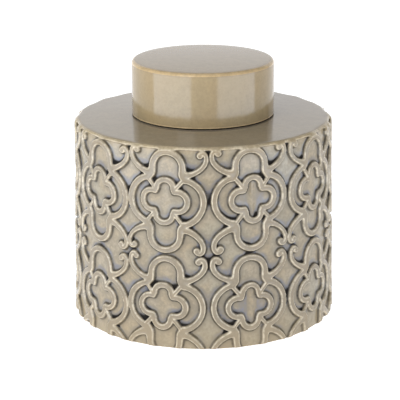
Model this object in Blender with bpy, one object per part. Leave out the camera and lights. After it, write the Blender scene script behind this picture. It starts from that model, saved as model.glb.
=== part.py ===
"""A squat lidded jar in glazed ceramic: a cast body with strapwork in relief, and a loose cap lid."""

from collections import namedtuple
from math import atan2, ceil, cos, pi, radians, sin, tan

import bmesh
import bpy
from mathutils import Vector
from mathutils.geometry import delaunay_2d_cdt

MM = 0.001

# Jar wall: the plain ground that the strapwork stands on
FOOT_RADIUS = 102.3 * MM
SHOULDER_RADIUS = 99.2 * MM
WALL = 7.0 * MM
FLOOR = 6.0 * MM
FOOT_CHAMFER = 1.2 * MM
FOOT_RING_WIDTH = 9.0 * MM
FOOT_RECESS = 2.0 * MM
INSIDE_FILLET = 10.0 * MM

# Shoulder and neck
SEAT_HEIGHT = 160.6 * MM
SHOULDER_FALL = 1.6 * MM
RIM_PROUD = 2.2 * MM
RIM_FILLET = 1.6 * MM
RIM_EDGE = 0.3 * MM
RIM_STEP = 0.8 * MM
NECK_HEIGHT = 26.0 * MM
NECK_WALL = 5.0 * MM
NECK_FILLET = 1.5 * MM
LIP_FILLET = 2.0 * MM

# Cap lid, which stands on the seat of the shoulder round the neck
LID_RADIUS = 56.2 * MM
LID_HEIGHT = 44.8 * MM
LID_DOME = 1.2 * MM
LID_WALL = 5.0 * MM
LID_CEILING = 5.5 * MM
LID_EDGE_FILLET = 3.0 * MM
LID_FOOT_FILLET = 0.8 * MM
LID_INSIDE_FILLET = 4.0 * MM
LID_NECK_CLEARANCE = 1.6 * MM
LID_SEAT_CLEARANCE = 0.3 * MM
SEAT_MARGIN = 1.8 * MM

# Strapwork: sizes on the unrolled wall, from the middle of one medallion
COLUMNS = 10
COLUMN_TURN = radians(-16.1)
ROW_PITCH = 83.3 * MM
RELIEF = 2.8 * MM
STRAP_WIDTH = 5.5 * MM
STRAP_TOP_WIDTH = 3.4 * MM
STRAP_GAP = 1.0 * MM
ARCH_RADIUS = 11.7 * MM
SIDE_RADIUS = 17.8 * MM
JUNCTION_TURN = radians(79.0)
FOIL_HALF_WIDTH = 17.6 * MM
FOIL_HALF_HEIGHT = 16.9 * MM
FOIL_LOBE_RADIUS = 7.2 * MM
FOIL_CUSP = 7.5 * MM
FOIL_WIDTH = 5.0 * MM
LINK_WIDTH = 4.0 * MM
SCROLL_WIDTH = 4.6 * MM
SCROLL_RISE = 9.5 * MM
SCROLL_CURL = 4.6 * MM

# Fineness of the facets: steps, angles and lengths under which points are one
TURNED_STEPS = 44
FILLET_STEPS = 2
BORDER_STEPS = 3
ARCH_FACET = radians(36.0)
FOIL_FACET = radians(50.0)
FLAT_ANGLE = radians(8.0)
SHARP_ANGLE = radians(30.0)
FACET_LEAST = 1.4 * MM
NEARNESS = 0.02 * MM
SLIVER = 0.002 * MM
MITRE_ALLOWANCE = 1 / cos(FOIL_FACET / 2)
FILLET_SHARE_OF_WALL = 0.45
CROWN_SHARES = (0.0, 0.4, 0.75)

GLAZE_COLOUR = (0.50, 0.43, 0.31, 1.0)
GLAZE_ROUGHNESS = 0.16


def clear_scene():
    for item in list(bpy.data.objects):
        bpy.data.objects.remove(item, do_unlink=True)


def glaze(name):
    material = bpy.data.materials.new(name)
    material.use_nodes = True
    shader = material.node_tree.nodes["Principled BSDF"]
    shader.inputs["Base Color"].default_value = GLAZE_COLOUR
    shader.inputs["Roughness"].default_value = GLAZE_ROUGHNESS
    shader.inputs["Metallic"].default_value = 0.0
    material.diffuse_color = GLAZE_COLOUR
    return material


def finished(bm, name, material, origin=(0.0, 0.0, 0.0)):
    """Turn a bmesh in world positions into an object whose origin is at the given point."""
    bmesh.ops.recalc_face_normals(bm, faces=bm.faces)
    bmesh.ops.translate(bm, verts=bm.verts, vec=[-value for value in origin])
    mesh = bpy.data.meshes.new(name)
    bm.to_mesh(mesh)
    bm.free()
    mesh.shade_smooth()
    mesh.set_sharp_from_angle(angle=SHARP_ANGLE)
    mesh.materials.append(material)
    piece = bpy.data.objects.new(name, mesh)
    piece.location = origin
    bpy.context.collection.objects.link(piece)
    return piece


# Turned profiles

def rounded(corners):
    """Points (r, z) of a profile whose corners (r, z, fillet) are rounded off."""
    points = []
    for index, (r, z, fillet) in enumerate(corners):
        corner = Vector((r, z))
        if fillet == 0.0:
            points.append(corner)
            continue
        before = (Vector(corners[index - 1][:2]) - corner).normalized()
        after = (Vector(corners[index + 1][:2]) - corner).normalized()
        half = before.angle(after) / 2
        reach = fillet / tan(half)
        centre = corner + (before + after).normalized() * (fillet / sin(half))
        start = corner + before * reach - centre
        turn = start.angle_signed(corner + after * reach - centre)
        for step in range(FILLET_STEPS + 1):
            angle = -turn * step / FILLET_STEPS
            spoke = Vector((start.x * cos(angle) - start.y * sin(angle),
                            start.x * sin(angle) + start.y * cos(angle)))
            points.append(centre + spoke)
    return points


def ring(bm, r, z):
    """Points round the axis at one height, or the single point on it."""
    steps = TURNED_STEPS if r > 0 else 1
    angles = [2 * pi * step / steps for step in range(steps)]
    return [bm.verts.new((r * sin(angle), -r * cos(angle), z)) for angle in angles]


def bridge(bm, one, other):
    """Join two neighbouring rings, either of which may be a point on the axis."""
    for step in range(TURNED_STEPS):
        corners = [one[step % len(one)], one[(step + 1) % len(one)]]
        corners += [other[(step + 1) % len(other)], other[step % len(other)]]
        bm.faces.new(list(dict.fromkeys(corners)))


def turned(bm, profile):
    """Rings along a profile, joined one to the next."""
    rings = [ring(bm, r, z) for r, z in profile]
    for one, other in zip(rings, rings[1:]):
        bridge(bm, one, other)
    return rings


def heading(vert):
    return atan2(vert.co.x, -vert.co.y) % (2 * pi)


def zip_loops(bm, one, other):
    """Join two loops round the axis that have unlike numbers of points."""
    one = sorted(one, key=heading)
    other = sorted(other, key=heading)
    i = j = 0
    while i < len(one) or j < len(other):
        here, there = one[i % len(one)], other[j % len(other)]
        next_here, next_there = one[(i + 1) % len(one)], other[(j + 1) % len(other)]
        turn_here = heading(next_here) + 2 * pi * ((i + 1) // len(one))
        turn_there = heading(next_there) + 2 * pi * ((j + 1) // len(other))
        if j == len(other) or (i < len(one) and turn_here <= turn_there):
            bm.faces.new((here, next_here, there))
            i += 1
        else:
            bm.faces.new((here, next_there, there))
            j += 1


# Strapwork on one quarter of a medallion's cell, unrolled: u runs round the jar, v up it

Strap = namedtuple("Strap", "path half_widths flat_share end_closed")


def mean_radius():
    return (FOOT_RADIUS + SHOULDER_RADIUS) / 2 + RELIEF / 2


def cell_half_width():
    return pi * mean_radius() / COLUMNS


def arc(u, v, radius, start, stop, steps):
    angles = [start + (stop - start) * step / steps for step in range(steps + 1)]
    return [Vector((u + radius * cos(angle), v + radius * sin(angle))) for angle in angles]


def strap_paths():
    """The straps of a quarter cell, which run past its edges where they cross them."""
    border = (STRAP_GAP + STRAP_WIDTH) / 2
    side_u = cell_half_width() - border - SIDE_RADIUS
    arch_v = ROW_PITCH / 2 - border - ARCH_RADIUS
    arch = arc(0, arch_v, ARCH_RADIUS, pi / 2 + ARCH_FACET / 2, 0, 3)
    side = arc(side_u, 0, SIDE_RADIUS, -JUNCTION_TURN / 5, JUNCTION_TURN, 3)
    junction = side[-1]
    arch.append(junction)
    cusp = Vector((FOIL_CUSP, FOIL_CUSP))
    lobe_start, lobe_end = -FOIL_FACET / 2, 1.5 * FOIL_FACET
    foil = arc(FOIL_HALF_WIDTH - FOIL_LOBE_RADIUS, 0, FOIL_LOBE_RADIUS, lobe_start, lobe_end, 2) + [cusp]
    upper_start, upper_end = pi / 2 - lobe_end, pi / 2 - lobe_start
    foil += arc(0, FOIL_HALF_HEIGHT - FOIL_LOBE_RADIUS, FOIL_LOBE_RADIUS, upper_start, upper_end, 2)
    curl = Vector((cell_half_width(), ROW_PITCH / 2)) - Vector((1, 1)) * (STRAP_GAP / 2 + SCROLL_CURL)
    knee = Vector((curl.x, junction.y + SCROLL_RISE))
    root = junction + (knee - junction).normalized() * (STRAP_TOP_WIDTH / 2)
    scroll = [root, knee, curl, curl + Vector((0, SCROLL_CURL))]
    scroll_widths = [SCROLL_WIDTH / 2, SCROLL_WIDTH / 2, SCROLL_CURL, SCROLL_CURL / 3]
    slant = (junction - cusp).normalized()
    link = [cusp + slant * (FOIL_WIDTH / 2), junction - slant * (STRAP_TOP_WIDTH / 2)]
    flat_share = STRAP_TOP_WIDTH / STRAP_WIDTH
    return [
        Strap(arch, [STRAP_WIDTH / 2] * len(arch), flat_share, False),
        Strap(side, [STRAP_WIDTH / 2] * len(side), flat_share, False),
        Strap(foil, [FOIL_WIDTH / 2] * len(foil), 0.0, False),
        Strap(link, [LINK_WIDTH / 2] * len(link), 0.0, False),
        Strap(scroll, scroll_widths, 0.0, True),
    ]


def offset(path, distances):
    """A line beside a path, mitred at its bends."""
    line = []
    for index, (point, distance) in enumerate(zip(path, distances)):
        before = (point - path[max(index - 1, 0)]).normalized()
        after = (path[min(index + 1, len(path) - 1)] - point).normalized()
        along = (before + after).normalized()
        square = Vector((-along.y, along.x))
        edge = after if index == 0 else before
        line.append(point + square * (distance / along.dot(edge)))
    return line


def strap_lines(strap):
    """Lines that the facets of a strap follow: along its feet, and along its flat top or ridge."""
    left = offset(strap.path, strap.half_widths)
    right = offset(strap.path, [-half for half in strap.half_widths])
    feet = [left + right[::-1]] if strap.end_closed else [left, right]
    if strap.flat_share == 0.0:
        return feet + [strap.path]
    tops = [half * strap.flat_share for half in strap.half_widths]
    return feet + [offset(strap.path, tops), offset(strap.path, [-top for top in tops])]


def strap_rise(point, path, half_widths):
    """How far a point lies from a strap's foot to its centre line, from below 0 to 1."""
    best = -1.0
    for index in range(len(path) - 1):
        run = path[index + 1] - path[index]
        share = min(max((point - path[index]).dot(run) / run.length_squared, 0.0), 1.0)
        half = half_widths[index] * (1 - share) + half_widths[index + 1] * share
        best = max(best, 1 - (point - path[index] - run * share).length / half)
    return best


def relief_height(point, straps):
    """Height of the strapwork over the ground at a point of the quarter cell."""
    rises = [strap_rise(point, strap.path, strap.half_widths) / (1 - strap.flat_share) for strap in straps]
    return RELIEF * min(max(rises + [0.0]) * MITRE_ALLOWANCE, 1.0)


def turns_over(vert, target):
    """Whether a triangle round a point would be turned over if the point moved to another one."""
    for face in vert.link_faces:
        if target in face.verts:
            continue
        one, two, three = [corner.co.xy for corner in face.verts]
        new_one, new_two, new_three = [(target if corner == vert else corner).co.xy for corner in face.verts]
        if (two - one).cross(three - one) * (new_two - new_one).cross(new_three - new_one) <= 0:
            return True
    return False


def gather_points(bm):
    """Move points that lie nearer than a facet together, one after the other, where no triangle turns over."""
    for vert in [vert for vert in bm.verts if not vert.is_boundary]:
        short = [edge for edge in vert.link_edges if edge.calc_length() < FACET_LEAST]
        targets = [edge.other_vert(vert) for edge in sorted(short, key=bmesh.types.BMEdge.calc_length)]
        target = next((other for other in targets if not turns_over(vert, other)), None)
        if target:
            bmesh.ops.weld_verts(bm, targetmap={vert: target})


def quarter_sheet(straps, v_start, v_end):
    """Points (u, v, height) and triangles of the quarter cell from v_start to v_end."""
    u_end = cell_half_width()
    corners = [Vector((0, v_start)), Vector((u_end, v_start)), Vector((u_end, v_end)), Vector((0, v_end))]
    row_border = [corners[2].lerp(corners[3], step / BORDER_STEPS) for step in range(BORDER_STEPS + 1)]
    lines = [corners[:2] + row_border + corners[:1]]
    for strap in straps:
        lines += strap_lines(strap)
    points, edges = [], []
    for line in lines:
        edges += [(len(points) + step, len(points) + step + 1) for step in range(len(line) - 1)]
        points += line
    flat, _, faces, *_ = delaunay_2d_cdt(points, edges, [], 0, NEARNESS)
    bm = bmesh.new()
    verts = [bm.verts.new((point.x, point.y, relief_height(point, straps))) for point in flat]
    for face in faces:
        middle = sum((flat[index] for index in face), Vector((0, 0))) / len(face)
        if SLIVER < middle.x < u_end - SLIVER and v_start + SLIVER < middle.y < v_end - SLIVER:
            bm.faces.new([verts[index] for index in face])
    bmesh.ops.delete(bm, geom=[vert for vert in verts if not vert.link_faces], context="VERTS")
    gather_points(bm)
    raised = [vert for vert in bm.verts if vert.co.z > 0 and not vert.is_boundary]
    ridges = [edge for edge in bm.edges if edge.verts[0] in raised and edge.verts[1] in raised]
    bmesh.ops.dissolve_limit(bm, angle_limit=FLAT_ANGLE, verts=raised, edges=ridges)
    bmesh.ops.triangulate(bm, faces=bm.faces)
    bm.verts.index_update()
    sheet = [vert.co.copy() for vert in bm.verts], [[vert.index for vert in face.verts] for face in bm.faces]
    bm.free()
    return sheet


def shoulder_edge():
    return SEAT_HEIGHT - SHOULDER_FALL


def rim_start():
    """Height where the strapwork ends under the rim of the shoulder."""
    return shoulder_edge() - RIM_FILLET - RIM_EDGE - RIM_STEP


def ground_radius(z):
    return FOOT_RADIUS + (SHOULDER_RADIUS - FOOT_RADIUS) * z / rim_start()


def add_sheet(bm, sheet, middle_turn, middle_z, u_sign, v_sign):
    """Roll a quarter sheet on to the wall, mirrored as the signs say."""
    points, faces = sheet
    verts = []
    for u, v, height in points:
        z = middle_z + v_sign * v
        r = ground_radius(z) + height
        turn = middle_turn + u_sign * u / cell_half_width() * pi / COLUMNS
        verts.append(bm.verts.new((r * sin(turn), -r * cos(turn), z)))
    for face in faces:
        order = face if u_sign * v_sign > 0 else face[::-1]
        bm.faces.new([verts[index] for index in order])


def half_rows():
    """Each half row of medallions from the shoulder down to where the foot cuts the pattern off: the height
    of its medallions' middle, its direction from there, and how near and far from there it shows."""
    half = ROW_PITCH / 2
    bands = []
    for index in range(ceil((shoulder_edge() - FOOT_CHAMFER) / half)):
        v_sign = -1 if index % 2 else 1
        middle_z = shoulder_edge() - half * (index + 1 - index % 2)
        near, far = sorted(v_sign * (end - middle_z) for end in (FOOT_CHAMFER, rim_start()))
        bands.append((middle_z, v_sign, max(near, 0.0), min(far, half)))
    return bands


def add_relief(bm):
    straps = strap_paths()
    for middle_z, v_sign, v_start, v_end in half_rows():
        sheet = quarter_sheet(straps, v_start, v_end)
        for column in range(COLUMNS):
            turn = COLUMN_TURN + 2 * pi * column / COLUMNS
            for u_sign in (1, -1):
                add_sheet(bm, sheet, turn, middle_z, u_sign, v_sign)
    bmesh.ops.remove_doubles(bm, verts=bm.verts, dist=NEARNESS)


# The two pieces

def lid_bottom():
    return SEAT_HEIGHT + LID_SEAT_CLEARANCE


def neck_radius():
    return LID_RADIUS - LID_WALL - LID_NECK_CLEARANCE


def make_jar():
    bm = bmesh.new()
    add_relief(bm)
    low = min(vert.co.z for vert in bm.verts)
    high = max(vert.co.z for vert in bm.verts)
    foot_loop = [vert for vert in bm.verts if vert.co.z < low + NEARNESS]
    rim_loop = [vert for vert in bm.verts if vert.co.z > high - NEARNESS]

    neck_top = SEAT_HEIGHT + NECK_HEIGHT
    bore = neck_radius() - NECK_WALL
    lip = min(LIP_FILLET, FILLET_SHARE_OF_WALL * NECK_WALL)
    shoulder_under = shoulder_edge() - WALL
    floor_top = FOOT_RECESS + FLOOR
    upper = turned(bm, rounded([
        (SHOULDER_RADIUS + RIM_PROUD, rim_start() + RIM_STEP, 0.0),
        (SHOULDER_RADIUS + RIM_PROUD, shoulder_edge(), RIM_FILLET),
        (LID_RADIUS + SEAT_MARGIN, SEAT_HEIGHT, 0.0),
        (neck_radius(), SEAT_HEIGHT, NECK_FILLET),
        (neck_radius(), neck_top, lip),
        (bore, neck_top, lip),
        (bore, shoulder_under, lip),
        (SHOULDER_RADIUS - WALL, shoulder_under, INSIDE_FILLET),
        (FOOT_RADIUS - WALL, floor_top, INSIDE_FILLET),
        (0.0, floor_top, 0.0),
    ]))
    zip_loops(bm, rim_loop, upper[0])

    foot_edge = FOOT_RADIUS - FOOT_CHAMFER
    lower = turned(bm, [
        (foot_edge, 0.0),
        (foot_edge - FOOT_RING_WIDTH, 0.0),
        (foot_edge - FOOT_RING_WIDTH - FOOT_RECESS, FOOT_RECESS),
        (0.0, FOOT_RECESS),
    ])
    zip_loops(bm, foot_loop, lower[0])
    return finished(bm, "jar", glaze("jar_glaze"))


def make_lid():
    bm = bmesh.new()
    bottom = lid_bottom()
    top = bottom + LID_HEIGHT
    bore = LID_RADIUS - LID_WALL
    ceiling = top - LID_CEILING
    crown = [(share * LID_RADIUS, top - LID_DOME * share ** 2, 0.0) for share in CROWN_SHARES]
    turned(bm, rounded(crown + [
        (LID_RADIUS, top - LID_DOME, LID_EDGE_FILLET),
        (LID_RADIUS, bottom, LID_FOOT_FILLET),
        (bore, bottom, LID_FOOT_FILLET),
        (bore, ceiling, LID_INSIDE_FILLET),
        (0.0, ceiling, 0.0),
    ]))
    return finished(bm, "lid", glaze("lid_glaze"), (0.0, 0.0, bottom))


clear_scene()
make_jar()
make_lid()
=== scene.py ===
"""Dresses a squat lidded jar: strapwork in relief under a pooled glaze, a cap lid and a white table."""

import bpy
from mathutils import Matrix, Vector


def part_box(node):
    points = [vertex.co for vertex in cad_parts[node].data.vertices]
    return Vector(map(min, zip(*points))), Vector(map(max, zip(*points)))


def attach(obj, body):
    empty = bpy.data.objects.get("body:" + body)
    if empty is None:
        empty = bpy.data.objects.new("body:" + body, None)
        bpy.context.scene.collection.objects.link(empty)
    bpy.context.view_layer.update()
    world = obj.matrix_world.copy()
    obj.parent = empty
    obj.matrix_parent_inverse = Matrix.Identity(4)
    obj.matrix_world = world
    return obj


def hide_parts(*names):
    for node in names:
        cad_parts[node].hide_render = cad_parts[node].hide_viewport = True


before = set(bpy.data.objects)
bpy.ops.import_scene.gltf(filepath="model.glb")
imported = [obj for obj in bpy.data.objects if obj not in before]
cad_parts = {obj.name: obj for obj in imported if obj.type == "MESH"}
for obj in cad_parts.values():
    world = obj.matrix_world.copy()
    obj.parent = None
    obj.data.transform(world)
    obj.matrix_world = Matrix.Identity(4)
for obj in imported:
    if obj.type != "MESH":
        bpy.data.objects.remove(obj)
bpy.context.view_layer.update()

from collections import namedtuple
from math import atan, ceil, cos, pi, radians, sin, tan

import bpy
import numpy as np
from mathutils import Matrix, Vector

bl_info = {
    "name": "Strapwork Jar",
    "version": (1, 0, 0),
    "blender": (4, 5, 0),
    "location": "3D View > Sidebar > Jar",
    "description": "Models the glazed surfaces of a lidded jar and sets them on a lit table",
    "category": "Add Mesh",
}

MM = 0.001
JAR_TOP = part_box("jar")[1].z
LID_LOW, LID_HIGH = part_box("lid")


# Sizes and colours that a user would change

def amount(name, description, default, **kind):
    return bpy.props.FloatProperty(name=name, description=description, default=default, **kind)


def length(name, description, default):
    return amount(name, description, default, subtype="DISTANCE", unit="LENGTH", precision=5)


def angle(name, description, default):
    return amount(name, description, radians(default), subtype="ANGLE", unit="ROTATION")


def share(name, description, default):
    return amount(name, description, default, subtype="FACTOR")


def colour(name, description, default):
    return bpy.props.FloatVectorProperty(
        name=name, description=description, default=default, subtype="COLOR", size=3, min=0.0, max=1.0)


def group(name, description, kind):
    return bpy.props.PointerProperty(name=name, description=description, type=kind)


class JarSizes(bpy.types.PropertyGroup):
    """Turned shape of the jar under its strapwork."""

    foot_radius: length("Foot radius", "Radius of the plain wall at the foot", 102.3 * MM)
    shoulder_radius: length("Shoulder radius", "Radius of the plain wall under the rim", 99.2 * MM)
    wall: length("Wall", "Thickness of wall and shoulder", 7.0 * MM)
    floor: length("Floor", "Thickness of the floor", 6.0 * MM)
    foot_rounding: length("Foot rounding", "Rounding between the wall and the foot ring", 1.2 * MM)
    foot_ring: length("Foot ring", "Width of the bare ring that the jar stands on", 9.0 * MM)
    foot_recess: length("Foot recess", "Depth of the hollow inside the foot ring", 2.0 * MM)
    inside_rounding: length("Inside rounding", "Rounding inside, from wall to floor and shoulder", 10 * MM)
    seat_height: length("Seat height", "Height of the flat that the lid stands on", LID_LOW.z - 0.3 * MM)
    seat_radius: length("Seat radius", "Radius of that flat", 58.0 * MM)
    shoulder_fall: length("Shoulder fall", "Fall of the shoulder from the seat to its edge", 1.6 * MM)
    rim_depth: length("Rim depth", "Distance from the shoulder's edge down to the foot of the rim", 3.0 * MM)
    rim_rounding: length("Rim rounding", "Rounding between the rim and the shoulder", 3.5 * MM)
    neck_radius: length("Neck radius", "Outer radius of the neck under the lid", 49.6 * MM)
    neck_wall: length("Neck wall", "Thickness of the neck", 5.0 * MM)
    neck_top: length("Neck top", "Height of the lip of the neck", JAR_TOP)
    neck_rounding: length("Neck rounding", "Rounding between the seat and the neck", 1.5 * MM)
    lip_rounding: length("Lip rounding", "Rounding of the lip of the neck", 2.0 * MM)


class StrapworkSizes(bpy.types.PropertyGroup):
    """Medallions in relief, measured on the unrolled wall."""

    columns: bpy.props.IntProperty(name="Columns", description="Medallions round the jar", default=10)
    column_turn: angle("First column", "Where the middle of one column lies, from the front", -16.1)
    row_pitch: length("Row pitch", "Height of one row of medallions", 83.3 * MM)
    relief: length("Relief", "Height of the strapwork over the wall", 2.8 * MM)
    strap_width: length("Strap width", "Width of the straps of the outer frame, at their feet", 5.6 * MM)
    gap: length("Gap", "Groove between neighbouring medallions", 1.0 * MM)
    arch_radius: length("Arch radius", "Radius of the arches over and under a medallion", 11.7 * MM)
    side_radius: length("Side radius", "Radius of the side lobes of a medallion", 17.8 * MM)
    junction_turn: angle("Junction", "Where the side lobe meets the arch", 79.0)
    foil_half_width: length("Foil half width", "Half the width of the quatrefoil", 17.6 * MM)
    foil_half_height: length("Foil half height", "Half the height of the quatrefoil", 16.9 * MM)
    foil_side_lobe: length("Foil side lobe", "Radius of the quatrefoil's lobes at its sides", 7.6 * MM)
    foil_top_lobe: length("Foil top lobe", "Radius of the quatrefoil's upper and lower lobes", 6.6 * MM)
    foil_cusp: length("Foil cusp", "How far out the quatrefoil's cusps lie, each way", 7.6 * MM)
    foil_width: length("Foil strap", "Width of the quatrefoil's strap, at its feet", 5.3 * MM)
    link_width: length("Link", "Width of the links between quatrefoil and frame", 4.0 * MM)
    scroll_width: length("Scroll root", "Width of a scroll where it leaves the frame", 5.2 * MM)
    scroll_end: length("Scroll end", "Width of a scroll where it curls over", 4.1 * MM)
    knob: length("Scroll knob", "Radius of the knob that a scroll ends in", 2.9 * MM)
    flank: length("Flank", "Width of the rounded flank of a strap", 1.2 * MM)
    dish: share("Dish", "Hollow of a strap's top between its edges, as a share of the relief", 0.14)
    meniscus: length("Meniscus", "How far the glaze climbs at the straps' feet", 0.35 * MM)
    rim_share: share("Rim share", "How far the rim stands out, as a share of the relief", 0.5)
    rim_drop: length("Rim drop", "How far the upper row's tops are set down to clear the rim", 0.3 * MM)
    foot_drop: length("Foot drop", "How far the lower row's ends are drawn down to the foot", 1.5 * MM)
    seam_turn: angle("Seam", "Where one of the mould's two seams lies, from the front", 21.0)
    seam_rise: length("Seam rise", "Height of the trace that a seam leaves in the quatrefoils", 1.3 * MM)
    seam_width: length("Seam width", "How far that trace reaches to each side", 1.8 * MM)
    wander: length("Wander", "How far the hand-pressed straps stray from a true line", 0.25 * MM)


class LidSizes(bpy.types.PropertyGroup):
    """Turned shape of the cap lid."""

    radius: length("Radius", "Outer radius of the lid", LID_HIGH.x)
    bottom: length("Bottom", "Height of the lid's rim", LID_LOW.z)
    top: length("Top", "Height of the middle of the lid", LID_HIGH.z)
    dome: length("Dome", "Rise of the top from its edge to its middle", 1.2 * MM)
    wall: length("Wall", "Thickness of the lid's side", 5.0 * MM)
    ceiling: length("Ceiling", "Thickness of the lid's top", 5.5 * MM)
    edge_rounding: length("Edge rounding", "Rounding between the top and the side", 3.0 * MM)
    rim_rounding: length("Rim rounding", "Rounding of the lid's rim", 0.8 * MM)
    inside_rounding: length("Inside rounding", "Rounding between the side and the ceiling inside", 4.0 * MM)


class GlazeLooks(bpy.types.PropertyGroup):
    """Colours and finish of the glaze and the bare clay."""

    body: colour("Jar glaze", "Glaze of usual thickness on the jar", (0.312, 0.25, 0.167))
    lid: colour("Lid glaze", "Glaze of usual thickness on the lid", (0.335, 0.242, 0.127))
    strap: colour("Strap glaze", "Glaze on the hollowed tops of the straps", (0.224, 0.171, 0.112))
    # Thin glaze and painted highlight: this pale colour on strap edges and flanks stands for glaze run thin
    # and also for highlights and light on the flanks
    thin: colour("Thin glaze", "Glaze that has run thin on edges", (0.645, 0.54, 0.395))
    lid_thin: colour("Thin lid glaze", "Glaze that has run thin on the lid's edges", (0.64, 0.44, 0.225))
    # Painted shade: the ground beside the straps is darkened where their shade falls, over somewhat thicker
    # glaze there
    shadow: colour("Thick glaze", "Glaze on the ground beside the straps", (0.142, 0.117, 0.083))
    run: colour("Run glaze", "Glaze that has run down and settled over the ledges", (0.150, 0.147, 0.165))
    # Pooled glaze and painted shade: the recesses take this grey both for the glaze gathered there and for
    # the shade in them
    pool: colour("Pooled glaze", "Glaze that has run together in the recesses", (0.122, 0.118, 0.132))
    # Painted shade: near black in the narrowest corners, along the straps' feet and on the lid's rim, where
    # shade and the contact shadow fall
    deep_shade: colour("Deep glaze", "Glaze in the narrowest corners", (0.011, 0.0085, 0.006))
    clay: colour("Bare clay", "Fired clay without glaze, or under very little of it", (0.35, 0.25, 0.12))
    calm: share("Calm", "How mottled and rippled the plain surfaces are beside the strapwork", 0.4)
    roughness: share("Roughness", "Roughness of the fired glaze", 0.10)
    ripple: length("Ripple", "Height of the slow waves in the glaze", 0.16 * MM)
    crackle: length("Crackle", "Usual distance between the crackle's lines", 2.4 * MM)


class StudioLooks(bpy.types.PropertyGroup):
    """Camera, floor and lights."""

    distance: length("Camera distance", "Distance from the jar's axis to the camera along the floor", 1.2893)
    pitch: angle("Camera pitch", "How far the camera looks down", 16.98)
    roll: angle("Camera roll", "How far the camera leans to its right", 0.27)
    aim_height: length("Aim height", "Height on the jar's axis at the middle of the picture", 88.1 * MM)
    aim_offset: length("Aim offset", "How far left of the axis the camera aims", 2.74 * MM)
    lens: amount("Focal length", "Focal length in millimetres on a sensor 36 mm wide", 150.4)
    floor_radius: length("Floor radius", "Radius of the white floor", 60.0)
    floor_glow: amount("Floor glow", "Light that the floor gives off by itself", 0.86)
    sky: amount("Room light", "Brightness of the room round the table", 0.22)
    left_panel: amount("Left panel", "Brightness of the panel at the left", 2.55)
    right_panel: amount("Right panel", "Brightness of the panel at the right", 2.22)
    front_panel: amount("Front panel", "Brightness of the panel left of the camera", 4.2)
    back_panel: amount("Back panel", "Brightness of the panel behind the jar", 0.92)
    top_panel: amount("Top panel", "Brightness of the panel over the jar", 0.5)


# Paths and widths of the straps

Strap = namedtuple("Strap", "path half_widths")

# Where the legs of an arch bend: how far outside the arch, and how high over the medallion's middle
LEG_BEND = 0.4 * MM
LEG_HEIGHT = 22.0 * MM

# A scroll's middle line in millimetres: outwards and up from where its frame's side lobe meets the arch,
# then inwards and down from the corner of the medallion's field
SCROLL_ROOT = ((-1.8, 3.2), (2.6, 4.3), (6.2, 5.8), (10.2, 8.4), (13.5, 12.0))
SCROLL_CURL = ((2.1, 7.9), (2.3, 4.2), (4.1, 2.1), (6.2, 2.2))
KNOB_PLACE = (6.8, 3.9)
KNOB_LENGTH = 0.1 * MM

# How far the quatrefoil's lobes run on into its cusps, and where a link starts, in millimetres from the cusp
SIDE_LOBE_END = radians(92.0)
TOP_LOBE_START = radians(-2.0)
LINK_START = (0.2, 1.8)

KNOB_FILLET = 0.3 * MM
SCROLL_FILLET = 1.8 * MM
SIDE_FILLET = 0.6 * MM
LINK_FILLET = 0.4 * MM

DISH_REACH = 0.95
FOIL_SHARE = 0.93
MENISCUS_REACH = 1.1 * MM


def arc(u, v, radius, start, stop, facet=radians(3.0)):
    """Points (u, v) along an arc."""
    turns = np.linspace(start, stop, ceil(abs(stop - start) / facet) + 1)
    return np.stack([u + radius * np.cos(turns), v + radius * np.sin(turns)], axis=1)


def curve_through(points, steps=8):
    """Points along a smooth curve that passes through the given ones."""
    points = np.array(points, float)
    ends = np.concatenate([2 * points[:1] - points[1:2], points, 2 * points[-1:] - points[-2:-1]])
    along = []
    for before, start, stop, after in zip(ends, ends[1:], ends[2:], ends[3:]):
        for t in np.arange(steps) / steps:
            along.append(0.5 * (2 * start + (stop - before) * t
                                + (2 * before - 5 * start + 4 * stop - after) * t ** 2
                                + (3 * start - before - 3 * stop + after) * t ** 3))
    return np.array(along + [points[-1]])


def strap(path, *widths):
    """A strap along a path, which narrows evenly from the first width to the last."""
    return Strap(path, np.linspace(widths[0], widths[-1], len(path)) / 2)


def depth_inside(places, band):
    """How far inside a strap's edge each place lies: below zero outside it."""
    best = np.full(len(places), -1.0)
    for start, stop, half, half_stop in zip(band.path, band.path[1:], band.half_widths, band.half_widths[1:]):
        run = stop - start
        along = np.clip((places - start) @ run / (run @ run), 0.0, 1.0)
        away = places - start - along[:, None] * run
        best = np.maximum(best, half + (half_stop - half) * along - np.hypot(away[:, 0], away[:, 1]))
    return best


def blended(one, other, reach):
    """The greater of two depths, with a fillet where they are near each other."""
    return 0.5 * (one + other + np.sqrt((one - other) ** 2 + reach ** 2))


def eased(low, high, values):
    """Rises smoothly from 0 at low to 1 at high."""
    t = np.clip((values - low) / (high - low), 0.0, 1.0)
    return t * t * (3 - 2 * t)


def frame_straps(work, half_width):
    """The frame of a quarter medallion: its side lobe, its arch, and the scroll with its knob."""
    border = (work.gap + work.strap_width) / 2
    side = arc(half_width - border - work.side_radius, 0.0, work.side_radius, 0.0, work.junction_turn)
    junction = side[-1]
    arch_v = work.row_pitch / 2 - border - work.arch_radius
    leg = curve_through([(work.arch_radius, arch_v), (work.arch_radius + LEG_BEND, LEG_HEIGHT), junction])
    arch = np.concatenate([arc(0.0, arch_v, work.arch_radius, pi / 2, 0.0), leg[1:]])
    corner = np.array([half_width, work.row_pitch / 2]) - work.gap / 2
    scroll = curve_through(np.concatenate([junction + np.array(SCROLL_ROOT) * MM,
                                           corner - np.array(SCROLL_CURL) * MM]))
    knob = corner - np.array(KNOB_PLACE) * MM
    return [
        strap(side, work.strap_width),
        strap(arch, work.strap_width),
        strap(scroll, work.scroll_width, work.scroll_end),
        strap(np.array([knob, knob + KNOB_LENGTH]), 2 * work.knob),
    ]


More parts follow.
